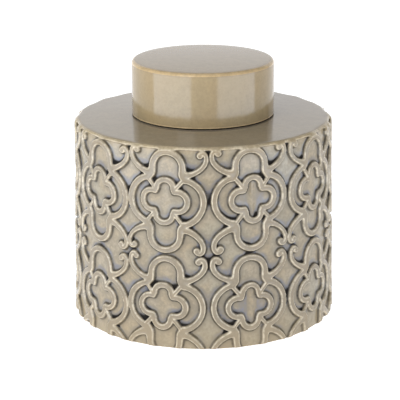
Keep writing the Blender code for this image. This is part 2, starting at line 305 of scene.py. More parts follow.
def foil_straps(work, junction):
    """The quatrefoil of a quarter medallion, and the link from its cusp to the frame."""
    cusp = np.array([work.foil_cusp, work.foil_cusp])
    side_u = work.foil_half_width - work.foil_side_lobe
    top_v = work.foil_half_height - work.foil_top_lobe
    foil = np.concatenate([
        arc(side_u, 0.0, work.foil_side_lobe, 0.0, SIDE_LOBE_END),
        [cusp],
        arc(0.0, top_v, work.foil_top_lobe, TOP_LOBE_START, pi / 2),
    ])
    link = np.array([cusp + np.array(LINK_START) * MM, junction])
    return [strap(foil, work.foil_width), strap(link, work.link_width)]


def strap_section(work, depth, half_width):
    """Height of a strap by how far inside its edge a place lies: rounded flanks and a shallow dish."""
    flank = eased(0.0, work.flank, depth)
    dish = eased(work.flank, DISH_REACH * half_width, depth)
    return work.relief * (flank - work.dish * dish)


# Strapwork over the whole wall

# Waves over the wall: how often they go round, their lean in radians to the metre, and their height together
WAVE_COUNTS = (7, 11, 16, 23, 31)
WAVE_LEAN = (40.0, 120.0)
WAVE_CREST = 3
AROUND_SEED, UPWARD_SEED, SWELL_SEED, RIM_SEED, WIPE_SEED = range(1, 6)
STRAP_SWELL = 0.2 * MM

# From where over a row's middle it is drawn to the rim or the foot, and where by the whole distance
DRAWN_FROM = 14 * MM
DRAWN_WHOLE = 36 * MM

# A seam's trace: the share left outside the quatrefoils, and how far from a row's middle it is worn and whole
SEAM_LEFT = 0.25
SEAM_WEARS = (20 * MM, 8 * MM)

# Along a seam: painted shade is darkest at one distance, as at that depth outside a strap, and glaze settles
# beyond it
SEAM_DARK = 4.0 * MM
SEAM_DARK_DEPTH = -1.4 * MM
SEAM_DARK_WORN = 8 * MM
SEAM_SETTLES = (2 * MM, 5.5 * MM)
SEAM_THINS = (16 * MM, 6.5 * MM)

# Medallions that were pressed off their true place, by column and row, in millimetres and degrees:
# shifts round and up the jar and lean of the frame, then shifts of the quatrefoil
STRAYS = {
    (-1, 0): (1.5, -1.7, -1.0, 0.7, -1.7), (-1, 1): (1.1, -3.9, 0.0, 0.1, -3.2),
    (0, 0): (0.1, -0.4, -2.0, -1.0, -0.3), (0, 1): (-0.8, -0.3, -1.3, -2.8, 0.0),
    (1, 0): (1.3, 0.4, 1.0, 3.1, 0.2), (1, 1): (0.8, -0.3, 0.3, 0.5, -1.0),
    (2, 0): (1.4, -0.5, -1.2, 1.2, -1.1), (2, 1): (1.8, -1.0, -1.2, 1.2, -0.5),
}


def waves(turns, heights, seed):
    """A gentle, even wander over the wall, from about -1 to 1, that closes on itself round the jar."""
    draw = np.random.default_rng(seed)
    total = np.zeros(np.broadcast(turns, heights).shape)
    for round_count in WAVE_COUNTS:
        upward = draw.uniform(*WAVE_LEAN) * draw.choice((-1, 1))
        total += np.sin(round_count * turns + upward * heights + draw.uniform(0, 2 * pi))
    return total / WAVE_CREST


def stray_table(work):
    """Shifts round and up, and lean, of each medallion's frame, and shifts of its quatrefoil."""
    units = np.array([MM, MM, radians(1.0), MM, MM])
    table = np.zeros((work.columns, 2, len(units)))
    for (column, row), strays in STRAYS.items():
        table[column % work.columns, row] = strays * units
    return table


def quarter_places(u, v, lean):
    """Places on a medallion, turned upright and folded into its quarter."""
    across = u * np.cos(lean) + v * np.sin(lean)
    up = v * np.cos(lean) - u * np.sin(lean)
    return np.abs(np.stack([across, up], axis=1))


class Medallions:
    """The medallions on the unrolled wall, each where it was pressed."""

    def __init__(self, work, radius):
        self.width = 2 * pi * radius / work.columns
        self.height = work.row_pitch
        self.frame = frame_straps(work, self.width / 2)
        self.foil = foil_straps(work, self.frame[0].path[-1])
        self.strays = stray_table(work)

    def depths(self, around, upward, column, row):
        """Depths inside the frame and inside the quatrefoil of the medallions that column and row name."""
        across, up, lean, foil_across, foil_up = self.strays[column % len(self.strays), row].T
        u = around - column * self.width
        v = upward + row * self.height
        places = quarter_places(u - across, v - up, lean)
        foil_places = quarter_places(u - foil_across, v - foil_up, lean)
        side, arch, scroll, knob = [depth_inside(places, part) for part in self.frame]
        foil, link = [depth_inside(foil_places, part) for part in self.foil]
        arch = blended(arch, blended(scroll, knob, KNOB_FILLET), SCROLL_FILLET)
        return blended(arch, side, SIDE_FILLET), blended(foil, link, LINK_FILLET)

    def all_depths(self, around, upward):
        """Depths inside the frames and the quatrefoils, and the row that each place is in."""
        column = np.round(around / self.width).astype(int)
        row = np.clip(np.round(-upward / self.height), 0, 1).astype(int)
        outer, inner = self.depths(around, upward, column, row)
        beside = np.where(around > column * self.width, 1, -1)
        for other_column, other_row in ((column + beside, row), (column, 1 - row)):
            more_outer, more_inner = self.depths(around, upward, other_column, other_row)
            outer, inner = np.maximum(outer, more_outer), np.maximum(inner, more_inner)
        return outer, inner, row


def seam_trace(work, off_seam, off_middle):
    """Height of a seam's trace, the depth that brings painted shade along it, and the glaze settled beside
    it, by the distances from the seam and from a row's middle."""
    left_on = SEAM_LEFT + (1 - SEAM_LEFT) * eased(*SEAM_WEARS, np.abs(off_middle))
    rise = work.seam_rise * left_on * np.exp(-(off_seam / work.seam_width) ** 2)
    depth = SEAM_DARK_DEPTH - np.abs(off_seam - SEAM_DARK) - SEAM_DARK_WORN * (1 - left_on)
    settled = left_on * eased(*SEAM_SETTLES, off_seam) * eased(*SEAM_THINS, off_seam)
    return rise, depth, settled


def edge_height(jar):
    """Height of the shoulder's edge before it is rounded."""
    return jar.seat_height - jar.shoulder_fall


def strapwork(jar, work, turns, heights):
    """Height of the strapwork over the plain wall, depth inside its straps' edges, and glaze settled beside
    the seams, on a grid of turns round the wall and heights up it."""
    turns, heights = [grid.ravel() for grid in np.meshgrid(turns, heights)]
    radius = (jar.foot_radius + jar.shoulder_radius + work.relief) / 2
    turns_here = (turns - work.column_turn + pi) % (2 * pi) - pi
    around = turns_here * radius + work.wander * waves(turns, heights, AROUND_SEED)
    upward = heights - edge_height(jar) + work.row_pitch / 2
    upward += work.wander * waves(turns, heights, UPWARD_SEED)
    upward += work.rim_drop * eased(DRAWN_FROM, DRAWN_WHOLE, upward)
    upward += work.foot_drop * eased(-DRAWN_FROM, -DRAWN_WHOLE, upward + work.row_pitch)
    outer, inner, row = Medallions(work, radius).all_depths(around, upward)
    swell = STRAP_SWELL * waves(turns, heights, SWELL_SEED)
    outer, inner = outer + swell, inner + swell
    rise = np.maximum(strap_section(work, outer, work.strap_width / 2),
                      FOIL_SHARE * strap_section(work, inner, work.foil_width / 2))
    depth = np.maximum(outer, inner)
    meniscus = work.meniscus * np.exp(np.minimum(depth, 0.0) / MENISCUS_REACH)
    rise = rise * (1 - meniscus / work.relief) + meniscus
    off_seam = np.abs(np.sin(turns - work.seam_turn)) * radius
    seam_rise, seam_depth, settled = seam_trace(work, off_seam, upward + row * work.row_pitch)
    return np.maximum(rise, seam_rise), np.maximum(depth, seam_depth), settled


# Turned profiles and the meshes made from them

# What each point says of the glaze, and its usual value: depth inside a strap's edge in millimetres, glaze
# gathered there with painted shade in the hollows, height of a ledge below it, and glaze wiped off
LAYERS = {"depth": 5.0, "pool": 0.0, "ledge": 0.0, "bare": 0.0}

INSIDE_MAP_SHARE = 0.35

Row = namedtuple("Row", "points layers first map_height", defaults=(0, 0.0))


def rounded(corners, steps=6):
    """Points (r, z) of a profile whose corners (r, z, rounding) are rounded off."""
    points = []
    for index, (r, z, rounding) in enumerate(corners):
        corner = Vector((r, z))
        if rounding == 0.0:
            points.append(tuple(corner))
            continue
        before = (Vector(corners[index - 1][:2]) - corner).normalized()
        after = (Vector(corners[index + 1][:2]) - corner).normalized()
        half = before.angle(after) / 2
        centre = corner + (before + after).normalized() * (rounding / sin(half))
        start = corner + before * (rounding / tan(half)) - centre
        turn = start.angle_signed(corner + after * (rounding / tan(half)) - centre)
        for step in range(steps + 1):
            spoke = Matrix.Rotation(-turn * step / steps, 2) @ start
            points.append(tuple(centre + spoke))
    return np.array(points)


def spaced(points, spacing):
    """Points along a profile at an even distance, close to the one given."""
    along = np.concatenate([[0.0], np.cumsum(np.hypot(*np.diff(points, axis=0).T))])
    even = np.linspace(0.0, along[-1], max(round(along[-1] / spacing), 1) + 1)
    return np.stack([np.interp(even, along, part) for part in points.T], axis=1)


def outward(points):
    """Unit normals of a profile that runs up its outer side."""
    run = np.gradient(points, axis=0)
    normals = np.stack([run[:, 1], -run[:, 0]], axis=1)
    return normals / np.linalg.norm(normals, axis=1)[:, None]


def ring(r, z, turns):
    """Points round the axis: r and z may differ from one turn to the next."""
    return np.stack(np.broadcast_arrays(r * np.sin(turns), -r * np.cos(turns), z), axis=1)


def even_turns(count):
    return 2 * pi * np.arange(count) / count


def joined(lower, upper):
    """Faces between two rows, as lists of (vertex, turn share, row share): one row may have several times
    the points of the other, or be a single point."""
    flip = len(lower.points) < len(upper.points)
    fine, coarse = (upper, lower) if flip else (lower, upper)
    n, m = len(fine.points), len(coarse.points)
    ratio = n // m

    def on_fine(index):
        return fine.first + index % n, index / n, fine.map_height

    def on_coarse(index):
        return coarse.first + index % m, index / m, coarse.map_height

    faces = []
    for step in range(n):
        face = [on_fine(step), on_fine(step + 1)]
        if m == 1:
            face.append((coarse.first, (step + 0.5) / n, coarse.map_height))
        elif ratio == 1:
            face += [on_coarse(step + 1), on_coarse(step)]
        else:
            post, place = divmod(step, ratio)
            face.append(on_coarse(post if place < ratio // 2 else post + 1))
            if place == ratio // 2:
                face.append(on_coarse(post))
        faces.append(face[::-1] if flip else face)
    return faces


def turned_piece(name, rows, finish):
    """An object whose surface runs through rows of points round the axis, from the first row on."""
    faces = [face for lower, upper in zip(rows, rows[1:]) for face in joined(lower, upper)]
    mesh = bpy.data.meshes.new(name)
    points = np.concatenate([row.points for row in rows])
    mesh.from_pydata(points, [], [[corner[0] for corner in face] for face in faces])
    chart = mesh.uv_layers.new(name="OFBake")
    places = np.array([corner[1:] for face in faces for corner in face], np.float32)
    chart.uv.foreach_set("vector", places.ravel())
    for layer, usual in LAYERS.items():
        values = [np.broadcast_to(row.layers.get(layer, usual), len(row.points)) for row in rows]
        attribute = mesh.attributes.new(layer, "FLOAT", "POINT")
        attribute.data.foreach_set("value", np.concatenate(values).astype(np.float32))
    mesh.shade_smooth()
    mesh.materials.append(finish)
    piece = bpy.data.objects.new(name, mesh)
    bpy.context.collection.objects.link(piece)
    return piece


def plain_rows(points, count, **layers):
    """Rows of one plain turned surface."""
    turns = even_turns(count)
    return [Row(ring(r, z, turns if r > 0 else turns[:1]), layers) for r, z in points]


def placed(rows, inside_from=None):
    """Rows with the numbers of their first points, and their heights on the surface's flat map, where the
    inside takes up less than its share."""
    firsts = np.cumsum([0] + [len(row.points) for row in rows]).tolist()
    middles = [np.hypot(*row.points[0][:2]) for row in rows]
    levels = [row.points[0][2] for row in rows]
    runs = np.hypot(np.diff(middles), np.diff(levels))
    if inside_from is not None:
        runs[inside_from:] *= INSIDE_MAP_SHARE
    heights = np.concatenate([[0.0], np.cumsum(runs)])
    heights /= heights[-1]
    return [row._replace(first=first, map_height=height) for row, first, height in zip(rows, firsts, heights)]


# Strapwork jar

WALL_COLUMNS = 900
PLAIN_COLUMNS = 180
WALL_SPACING = 0.62 * MM
RIM_SPACING = 0.35 * MM
SHOULDER_SPACING = 6 * MM
SHOULDER_START = 0.15

# Start of the rim's finer steps, as a share of the wall, and of the flat, as a share of the turn over it
RIM_MARGIN = 0.03
FLAT_FROM = 0.955

FOOT_RING_ROUNDING = 0.5 * MM
FOOT_ROUNDING_SHARE = 0.98

# Straps stand lower at the very foot
FOOT_SHARE = 0.55
FOOT_WHOLE = 2.5 * MM

# The rim rises along a wavering line; over its edge the straps melt together, by so many cells, and lift it
RIM_RISES = 1.8 * MM
RIM_WAVER = 0.3 * MM
MELT = (5.0, 1.0)
MELT_WHOLE = 0.3
RIM_LIFT = 0.3
RIM_LIFT_ENDS = (0.4, 0.95)

# Glaze spreads so many cells across and up, and gathers over a ledge within some cells, and beside a seam
GLAZE_SPREAD = (4.0, 4.6)
LEDGE_CELLS = 5
LEDGE_POOLING = 0.25
SEAM_LEDGE = 0.38

# Depth on the rim's edge, from that of a thin edge, which gives it thin glaze and a painted highlight, to
# that of a plain surface
EDGE_BEGINS = 0.03
EDGE_ENDS = (0.5, 0.56)
EDGE_DEPTHS = (0.8, LAYERS["depth"])

# Glaze wiped off, its share and reach: under the rim, on its edge, up from the foot, and at the very foot
UNDER_RIM_WIPE, UNDER_RIM_REACH = 0.25, (-7 * MM, 1 * MM)
EDGE_WIPE, EDGE_REACH = 0.3, (0.0, 0.2)
WIPE_WAVER = 0.3
WIPE_ENDS = (0.4, 0.75)
FOOT_WIPE, FOOT_REACH = 0.3, (0.0, 35 * MM)
FOOT_LINE_WIPE, FOOT_LINE_REACH = 0.8, (0.2 * MM, 1.1 * MM)

BLUR_SPAN = 2.5


def smeared(field, across, up):
    """A field on the wall's grid, blurred by so many cells across, where it closes on itself, and up."""
    for axis, reach, mode in ((1, across, "wrap"), (0, up, "edge")):
        span = ceil(BLUR_SPAN * reach)
        weights = np.exp(-0.5 * (np.arange(-span, span + 1) / reach) ** 2)
        padded = np.pad(field, [(span, span) if axis == side else (0, 0) for side in (0, 1)], mode=mode)
        size = field.shape[axis]
        field = sum(weight * np.take(padded, np.arange(size) + shift, axis=axis)
                    for shift, weight in enumerate(weights / weights.sum()))
    return field


def glaze_layers(work, rise, depth, settled):
    """What the glaze does on the wall: it gathers most in narrow corners and over ledges, and the same
    measure of hollows carries painted shade into the corners.
    """
    soft = smeared(rise, *GLAZE_SPREAD)
    ledge = np.pad(soft, [(LEDGE_CELLS, LEDGE_CELLS), (0, 0)], mode="edge")
    ledge = ledge[:-2 * LEDGE_CELLS] - ledge[2 * LEDGE_CELLS:]
    pool = (soft - rise + LEDGE_POOLING * ledge) / work.relief
    ledge = np.maximum(ledge / work.relief, SEAM_LEDGE * settled)
    return {"depth": depth / MM, "pool": np.clip(pool, 0, 1), "ledge": ledge}


def wiped_off(turns, heights, over_rim, over_edge):
    """How much glaze was wiped off the wall: some near the rim and the foot, and most at the very foot."""
    wiped = UNDER_RIM_WIPE * eased(*UNDER_RIM_REACH, over_rim) + EDGE_WIPE * eased(*EDGE_REACH, over_edge)
    wiped = wiped * (1 + WIPE_WAVER * waves(turns, 0.0, WIPE_SEED)) * (1 - eased(*WIPE_ENDS, over_edge))
    wiped = wiped + FOOT_WIPE * (1 - eased(*FOOT_REACH, heights))
    return np.maximum(wiped, FOOT_LINE_WIPE * (1 - eased(*FOOT_LINE_REACH, heights)))


def jar_profiles(jar):
    """The jar's turned shape: under its foot, up its wall and rim, and over its shoulder to the inside."""
    ring_outer = jar.foot_radius - jar.foot_rounding
    ring_inner = ring_outer - jar.foot_ring
    under = [(0.0, jar.foot_recess, 0.0), (ring_inner - jar.foot_recess, jar.foot_recess, FOOT_RING_ROUNDING),
             (ring_inner, 0.0, FOOT_RING_ROUNDING), (ring_outer, 0.0, 0.0)]
    wall = [(ring_outer, 0.0, 0.0), (jar.foot_radius, 0.0, jar.foot_rounding * FOOT_ROUNDING_SHARE),
            (jar.shoulder_radius, edge_height(jar), jar.rim_rounding),
            (jar.seat_radius, jar.seat_height, 0.0)]
    bore = jar.neck_radius - jar.neck_wall
    under_shoulder = edge_height(jar) - jar.wall
    floor_top = jar.foot_recess + jar.floor
    over = [(jar.seat_radius, jar.seat_height, 0.0), (jar.neck_radius, jar.seat_height, jar.neck_rounding),
            (jar.neck_radius, jar.neck_top, jar.lip_rounding), (bore, jar.neck_top, jar.lip_rounding),
            (bore, under_shoulder, jar.lip_rounding),
            (jar.shoulder_radius - jar.wall, under_shoulder, jar.inside_rounding),
            (jar.foot_radius - jar.wall, floor_top, jar.inside_rounding), (0.0, floor_top, 0.0)]
    return rounded(under), rounded(wall), rounded(over)


def wall_line(points):
    """The wall's profile up to the flat of the shoulder, the sideways and upward parts of its normals, and
    how far it has turned over the rim's edge, from 0 to 1."""
    half_way = points[-1, 1] / 2
    split = int(np.argmax(points[:, 1] > half_way))
    below_rim = points[split] - (points[split] - points[split - 1]) * RIM_MARGIN
    lower = spaced(np.concatenate([points[:split], [below_rim]]), WALL_SPACING)
    base = np.concatenate([lower[:-1], spaced(np.concatenate([[below_rim], points[split:]]), RIM_SPACING)])
    sideways, upward = np.clip(outward(base), 0.0, 1.0).T
    over_edge = np.where(base[:, 1] > half_way, 1 - sideways, 0.0)
    count = int(np.argmax(over_edge > FLAT_FROM))
    return base[:count], sideways[:count, None], upward[:count, None], over_edge[:count, None]


def wall_rows(jar, work, points):
    """Rows of the wall up to the flat of the shoulder, spread outwards by the strapwork."""
    base, sideways, upward, over_edge = wall_line(points)
    heights = base[:, 1:]
    turns = even_turns(WALL_COLUMNS)
    over_rim = heights - (edge_height(jar) - jar.rim_depth)
    held = (heights - np.maximum(over_rim, 0.0))[:, 0]
    rise, depth, settled = [field.reshape(len(base), -1) for field in strapwork(jar, work, turns, held)]
    rise *= FOOT_SHARE + (1 - FOOT_SHARE) * eased(0.0, FOOT_WHOLE, heights)
    wavering = over_rim + RIM_WAVER * waves(turns, 0.0, RIM_SEED)
    rim = work.rim_share * work.relief * eased(0.0, RIM_RISES, wavering)
    rise = np.maximum(rise, rim)
    melted = smeared(rise, *MELT)
    rise += (melted - rise) * eased(0.0, MELT_WHOLE, over_edge)
    lift = RIM_LIFT * (melted - rim) * upward * (1 - eased(*RIM_LIFT_ENDS, over_edge))
    layers = glaze_layers(work, rise, depth, settled)
    on_edge = eased(0.0, EDGE_BEGINS, over_edge)
    layers["depth"] = layers["depth"] * (1 - on_edge) + np.interp(over_edge, EDGE_ENDS, EDGE_DEPTHS) * on_edge
    layers["pool"] = layers["pool"] * (1 - on_edge)
    layers["bare"] = wiped_off(turns, heights, over_rim, over_edge)
    rows = []
    for index, (r, z) in enumerate(base):
        spread = ring(r + sideways[index] * rise[index], z + lift[index], turns)
        rows.append(Row(spread, {name: field[index] for name, field in layers.items()}))
    return rows, base[-1]


def add_jar(looks):
    under, wall, over = jar_profiles(looks.jar)
    recess, foot_ring = np.split(under, 2)
    raised, last = wall_rows(looks.jar, looks.strapwork, wall)
    shoulder = spaced(np.array([last, wall[-1]]), SHOULDER_SPACING)
    shoulder[0] += (shoulder[1] - shoulder[0]) * SHOULDER_START
    rows = plain_rows(recess, PLAIN_COLUMNS) + plain_rows(foot_ring, PLAIN_COLUMNS, bare=1.0)
    rows += raised + plain_rows(shoulder, PLAIN_COLUMNS)
    inside_from = len(rows)
    rows += plain_rows(over[1:], PLAIN_COLUMNS)
    finish = glaze("jar_glaze", looks.glaze, looks.glaze.body, looks.glaze.thin, 1.0)
    piece = turned_piece("strapwork_jar", placed(rows, inside_from), finish)
    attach(piece, "jar")
    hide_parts("jar")


# Cap lid

LID_COLUMNS = 240
LID_SPACING = 6 * MM
LID_EDGE_STEPS = 8

# Rows of the domed top, as shares of the radius, and height of the lid's rim
CROWN_SHARES = (0.85, 0.65, 0.45, 0.25, 0.0)
LID_RIM_HEIGHT = 2 * MM

# Golden lines of thin glaze: heights of the lower one over the rim, and depths of both in millimetres
FOOT_LINE_HEIGHTS = (0.95 * MM, 1.7 * MM)
FOOT_LINE_DEPTH = 0.9
TOP_LINE_DEPTH = 0.8
LID_RIM_BARE = 0.8


def add_lid(looks):
    lid = looks.lid
    bore = lid.radius - lid.wall
    ceiling = lid.top - lid.ceiling
    rim_top = lid.bottom + LID_RIM_HEIGHT
    inside = rounded([(0.0, ceiling, 0.0), (bore, ceiling, lid.inside_rounding), (bore, rim_top, 0.0)])
    rim = rounded([(bore, rim_top, 0.0), (bore, lid.bottom, lid.rim_rounding),
                   (lid.radius, lid.bottom, lid.rim_rounding), (lid.radius, rim_top, 0.0)])
    rim_inside, rim_outside = np.split(rim[1:-1], 2)
    crown = [(part * lid.radius, lid.top - lid.dome * part ** 2, 0.0) for part in CROWN_SHARES]
    edge = (lid.radius, lid.top - lid.dome, lid.edge_rounding)
    outside = rounded([(lid.radius, rim_top, 0.0), edge, *crown], LID_EDGE_STEPS)
    side, top_line, top = outside[:2], outside[2:LID_EDGE_STEPS + 1], outside[LID_EDGE_STEPS + 1:]
    foot_line = [(lid.radius, lid.bottom + height) for height in FOOT_LINE_HEIGHTS]
    # The outer rounding of the lid's rim takes full pooling and so the near-black cover: a painted contact
    # shadow under the lid
    runs = [(inside, {}), (rim_inside, {"bare": LID_RIM_BARE}), (rim_outside, {"pool": 1.0}),
            (foot_line, {"depth": FOOT_LINE_DEPTH}), (spaced(side, LID_SPACING), {}),
            (top_line, {"depth": TOP_LINE_DEPTH}), (top, {})]
    rows = [row for points, layers in runs for row in plain_rows(points, LID_COLUMNS, **layers)]
    finish = glaze("lid_glaze", looks.glaze, looks.glaze.lid, looks.glaze.lid_thin, looks.glaze.calm)
    piece = turned_piece("cap_lid", placed(rows), finish)
    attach(piece, "lid")
    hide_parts("lid")


# Glaze

# Spots and patches of the glaze: their size, and how finely their outlines break up
GRAIN = (2.2 * MM, 4.0)
BLOTCHES = (6 * MM, 3.0)
RIPPLES = (8 * MM, 1.0)
CLOUDS = (14 * MM, 3.0)
POOLING = (19 * MM, 2.0)
WARM_PATCHES = (23 * MM, 2.0)
COOL_PATCHES = (31 * MM, 2.0)
THICK_PATCHES = (40 * MM, 1.0)

# Depths inside a strap's edge, in millimetres, at which a look of the glaze comes, is full, goes and is gone
ON_EDGE = (0.4, 0.85, 1.15, 1.6)
ON_TOP = (1.3, 2.2, 3.5, 4.5)
BESIDE = (-4.5, -0.4, -0.2, 0.4)
AT_FOOT = (-1.4, -0.3, 0.25, 0.65)
GROUND_ENDS = (-0.5, 0.2)
PLAIN_BEGINS = (3.2, 4.8)

# Between which values a patch, a pool, a ledge or bare clay shows, and what it goes from and to there
WARM_SHOWS = (0.35, 0.65)
COOL_SHOWS = (0.46, 0.62)
THICK_SHOWS = (0.42, 0.58, 0.25, 0.85)
POOL_VARIES = (0.35, 0.65, 0.75, 1.2)
POOLS_GREY = (0.22, 0.4)
SHADE_IN_HOLLOWS = (0.36, 0.51)
LEDGE_SHOWS = (0.1, 0.38)
FOOT_BY_LEDGE = (-0.3, 0.1, 0.7, 1.0)
FOOT_BY_BLOTCH = (0.35, 0.6, 0.5, 1.0)
FOOT_BY_POOL = (0.3, 0.5, 0.88, 1.0)
SPOTS_SHOW = (0.38, 0.62, -0.36, 0.36)
CLAY_DULLS = (0.7, 0.95)

# How much of each look there is
WARM_SHARE = 0.8
TOP_SHARE = 0.7
THIN_AND_HIGHLIGHT_SHARE, THIN_AND_HIGHLIGHT_BY_CLOUD = 0.6, 0.5
BESIDE_SHARE = 0.55
FOOT_SHADE_COVER = 0.5
BLOTCH_SPOTS, GRAIN_SPOTS, CLOUD_SPOTS = 0.4, 0.45, 0.15
SPOT_SHADE, CRACK_SHADE = 0.31, 0.12
CLOUD_DULLNESS, CLAY_DULLNESS = 0.05, 0.5
GRAIN_SWELL, CRACK_SWELL, MEAN_SWELL = 0.1, 0.05, 0.55

# Shares of the usual colour in warm and cool patches and in dark spots
WARM = (1.0, 0.94, 0.83)
COOL = (0.94, 0.98, 1.0)
SPOTTED = (0.66, 0.66, 0.66)

CRACK_WIDTH = 0.07
GLAZE_IOR = 1.52
# Finish of the dull cover that paints shade over the gloss
DULL = {"Roughness": 0.6, "Specular IOR Level": 0.1}

# Sockets of a node that mixes colours
MIX_ONE, MIX_OTHER, MIX_RESULT = 6, 7, 2


class Signal:
    """An output of a shader node that takes part in Python arithmetic."""

    def __init__(self, recipe, socket):
        self.recipe = recipe
        self.socket = socket

    def math(self, operation, first, second):
        return self.recipe.node("ShaderNodeMath", {"operation": operation}, {0: first, 1: second})

    def __add__(self, other):
        return self.math("ADD", self, other)

    def __mul__(self, other):
        return self.math("MULTIPLY", self, other)

    def __sub__(self, other):
        return self.math("SUBTRACT", self, other)

    def __rsub__(self, other):
        return self.math("SUBTRACT", other, self)

    __radd__ = __add__
    __rmul__ = __mul__


class Recipe:
    """The nodes of one material."""

    def __init__(self, name):
        self.material = bpy.data.materials.new(name)
        self.material.use_nodes = True
        self.tree = self.material.node_tree
        self.shader = self.tree.nodes["Principled BSDF"]

    def node(self, kind, settings, values, output=0):
        """Adds a node: its settings first, then the values or signals of its sockets."""
        made = self.tree.nodes.new(kind)
        for setting, value in settings.items():
            setattr(made, setting, value)
        for socket, value in values.items():
            self.feed(made.inputs[socket], value)
        return Signal(self, made.outputs[output])

    def feed(self, socket, value):
        if isinstance(value, Signal):
            self.tree.links.new(value.socket, socket)
        else:
            socket.default_value = value

    def set(self, **values):
        """Values or signals of the shader's own sockets, named with _ for a space."""
        for socket, value in values.items():
            self.feed(self.shader.inputs[socket.replace("_", " ")], value)

    def lay_over(self, factor, tone):
        """Covers the shader with a plain dull colour, as far as the factor says."""
        dull = self.node("ShaderNodeBsdfPrincipled", {}, {"Base Color": tone, **DULL})
        glossy = Signal(self, self.shader.outputs[0])
        cover = self.node("ShaderNodeMixShader", {}, {0: factor, 1: glossy, 2: dull})
        self.feed(self.tree.nodes["Material Output"].inputs["Surface"], cover)

    def layer(self, name):
        return self.node("ShaderNodeAttribute", {"attribute_name": name}, {}, "Fac")

    def mixed(self, factor, one, other):
        values = {"Factor": factor, MIX_ONE: one, MIX_OTHER: other}
        return self.node("ShaderNodeMix", {"data_type": "RGBA"}, values, MIX_RESULT)

    def ramp(self, value, low, high, to_low=0.0, to_high=1.0):
        values = {"Value": value, "From Min": low, "From Max": high, "To Min": to_low, "To Max": to_high}
        return self.node("ShaderNodeMapRange", {"interpolation_type": "SMOOTHSTEP"}, values)

    def between(self, value, comes, full, goes, gone):
        """1 from full to goes, and 0 before it comes and once it is gone."""
        return self.ramp(value, comes, full) * (1 - self.ramp(value, goes, gone))


def opaque(rgb, shares=(1.0, 1.0, 1.0)):
    """A colour for a socket, or a share of each of its parts."""
    return (*[part * kept for part, kept in zip(rgb, shares)], 1.0)


def glaze(name, look, usual, thin, mottling):
    """Glossy glaze: pale where thin, with painted highlights on edges, grey where it gathers, with painted
    shade beside the straps, in hollows and along their feet, crackled, with clay where it was wiped off.
    """
    recipe = Recipe(name)
    ramp, between, mixed = recipe.ramp, recipe.between, recipe.mixed
    place = recipe.node("ShaderNodeTexCoord", {}, {}, "Object")

    def noise(size, detail):
        return recipe.node("ShaderNodeTexNoise", {}, {"Vector": place, "Scale": 1 / size, "Detail": detail})

    depth, bare, ledge = recipe.layer("depth"), recipe.layer("bare"), recipe.layer("ledge")
    pool = recipe.layer("pool") * ramp(noise(*POOLING), *POOL_VARIES)
    mottle = ramp(depth, *PLAIN_BEGINS, mottling, look.calm)
    cloud, blotch, grain = noise(*CLOUDS), noise(*BLOTCHES), noise(*GRAIN)
    lines = recipe.node("ShaderNodeTexVoronoi", {"feature": "DISTANCE_TO_EDGE"},
                        {"Vector": place, "Scale": 1 / look.crackle})
    crack = 1 - ramp(lines, 0.0, CRACK_WIDTH)

    # The ground, in warm and cool patches, and the straps, whose edges take thin glaze and a painted
    # highlight
    warm = ramp(noise(*WARM_PATCHES), *WARM_SHOWS)
    cool = ramp(noise(*COOL_PATCHES), *COOL_SHOWS)
    tone = mixed(WARM_SHARE * mottle * warm, opaque(usual), opaque(usual, WARM))
    tone = mixed(mottle * cool, tone, opaque(usual, COOL))
    tone = mixed(TOP_SHARE * between(depth, *ON_TOP), tone, opaque(look.strap))
    # Thin glaze with a painted highlight on the straps' edges and flanks
    tone = mixed(between(depth, *ON_EDGE) * (THIN_AND_HIGHLIGHT_SHARE + THIN_AND_HIGHLIGHT_BY_CLOUD * cloud), tone, opaque(thin))

    # Painted shade over thicker glaze beside the straps, glaze run over ledges, pooled glaze with painted
    # shade in recesses, and painted shade along the straps' feet
    tone = mixed(BESIDE_SHARE * between(depth, *BESIDE), tone, opaque(look.shadow))
    thick = ramp(noise(*THICK_PATCHES), *THICK_SHOWS)
    ground = 1 - ramp(depth, *GROUND_ENDS)
    tone = mixed(thick * ground * ramp(ledge, *LEDGE_SHOWS), tone, opaque(look.run))
    # Pooled glaze with painted shade: the recesses darken to grey
    tone = mixed(ramp(pool, *POOLS_GREY), tone, opaque(look.pool))
    # Painted shade: near-black lines along the straps' feet
    foot = between(depth, *AT_FOOT) * ramp(ledge, *FOOT_BY_LEDGE)
    foot = foot * ramp(blotch, *FOOT_BY_BLOTCH) * ramp(pool, *FOOT_BY_POOL)
    tone = mixed(foot, tone, opaque(look.deep_shade))

    # Fine spots and crackle over it all, and clay where the glaze is thin or gone
    spots = BLOTCH_SPOTS * blotch + GRAIN_SPOTS * grain + CLOUD_SPOTS * cloud
    shade = SPOT_SHADE + mottle * ramp(spots, *SPOTS_SHOW) + CRACK_SHADE * crack
    tone = mixed(shade, tone, opaque(usual, SPOTTED))
    tone = mixed(bare, tone, opaque(look.clay))

    roughness = look.roughness + CLOUD_DULLNESS * cloud + CLAY_DULLNESS * ramp(bare, *CLAY_DULLS)
    swell = noise(*RIPPLES) + GRAIN_SWELL * grain - CRACK_SWELL * crack - MEAN_SWELL
    normal = recipe.node("ShaderNodeBump", {}, {"Distance": look.ripple, "Height": mottle * swell})
    recipe.set(Base_Color=tone, Roughness=roughness, Normal=normal, IOR=GLAZE_IOR)
    # Painted shade: a dull near-black cover over the gloss in the deepest hollows and along the straps' feet,
    # where no reflection shows
    recipe.lay_over(ramp(pool, *SHADE_IN_HOLLOWS) + FOOT_SHADE_COVER * foot, opaque(look.deep_shade))
    return recipe.material


# Table, lights and camera

TABLE_COLUMNS = 64
TABLE_DROP = 0.2 * MM
TABLE_WHITE = (0.62, 0.62, 0.62)
TABLE_ROUGHNESS = 0.9

WHITE = (1.0, 1.0, 1.0)
COOL_LIGHT = (0.88, 1.0, 1.16)
WARM_LIGHT = (1.0, 0.985, 0.975)

